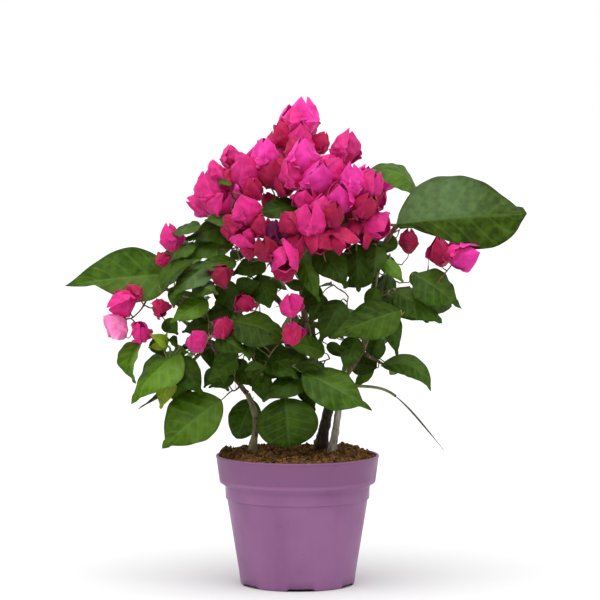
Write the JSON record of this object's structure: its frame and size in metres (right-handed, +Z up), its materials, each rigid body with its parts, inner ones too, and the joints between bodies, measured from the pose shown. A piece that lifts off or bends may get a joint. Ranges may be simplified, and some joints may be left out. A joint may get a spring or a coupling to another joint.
{
  "type": "potted bougainvillea bush",
  "caption": "Bushy flowering shrub with magenta papery bracts and large pointed leaves on woody stems, growing in a tapered violet nursery pot.",
  "frame": {"origin": "middle of the pot's flat underside, on the surface the pot stands on", "axes": "+Z up along the pot's axis, +X to the right seen from the front, -Y towards the front"},
  "size_m": [0.3665, 0.1774, 0.3863],
  "materials": {
    "pot_plastic": "satin violet moulded plastic",
    "potting_soil": "crumbly dark peat with brown fibres",
    "bark": "grey-brown ridged bark",
    "leaf": "dark green leaf, slightly glossy",
    "young_leaf": "fresh light green leaf",
    "bract": "papery magenta bract"
  },
  "bodies": {
    "root": {"pot": "pot_plastic", "soil": "potting_soil", "trunk": "bark", "grey_stem": "bark", "left_stem": "bark", "right_bough": "bark", "centre_bough": "bark", "left_bough": "bark", "upper_left_bough": "bark", "upper_right_bough": "bark", "low_right_bough": "bark", "right_side_bough": "bark", "drooping_leaf": "leaf", "far_left_leaf": "leaf", "left_crescent_leaf": "leaf", "left_lower_leaves": "young_leaf", "lower_left_leaf": "young_leaf", "left_upper_leaves": "leaf", "left_blue_leaves": "leaf", "left_inner_leaves": "leaf", "centre_left_leaves": "leaf", "long_centre_leaf": "leaf", "centre_leaves": "leaf", "centre_right_leaves": "leaf", "broad_right_leaves": "leaf", "lower_centre_leaves": "leaf", "lower_centre_leaf": "young_leaf", "round_front_leaf": "leaf", "small_front_leaf": "leaf", "upper_right_leaf": "leaf", "great_right_leaf": "leaf", "right_side_leaves": "leaf", "right_hanging_leaf": "leaf", "right_lower_leaf": "leaf", "top_bracts": "bract", "crown_bracts": "bract", "top_right_bract": "bract", "upper_left_bracts": "bract", "bud_bracts": "bract", "left_bracts": "bract", "right_bracts": "bract", "centre_bracts": "bract", "low_centre_bracts": "bract", "centre_left_bracts": "bract", "far_left_bracts": "bract", "left_tip_bracts": "bract", "low_left_bracts": "bract", "hanging_bracts": "bract", "ring_bract": "bract", "right_side_bracts": "bract", "back_top_leaves": "leaf", "back_left_leaves": "leaf", "back_centre_leaves": "leaf", "back_right_leaves": "leaf", "back_low_left_leaves": "leaf", "back_low_centre_leaves": "leaf", "back_low_right_leaves": "leaf", "back_crown_bracts": "bract", "back_left_bracts": "bract", "back_right_bracts": "bract"}
  },
  "joints": []
}
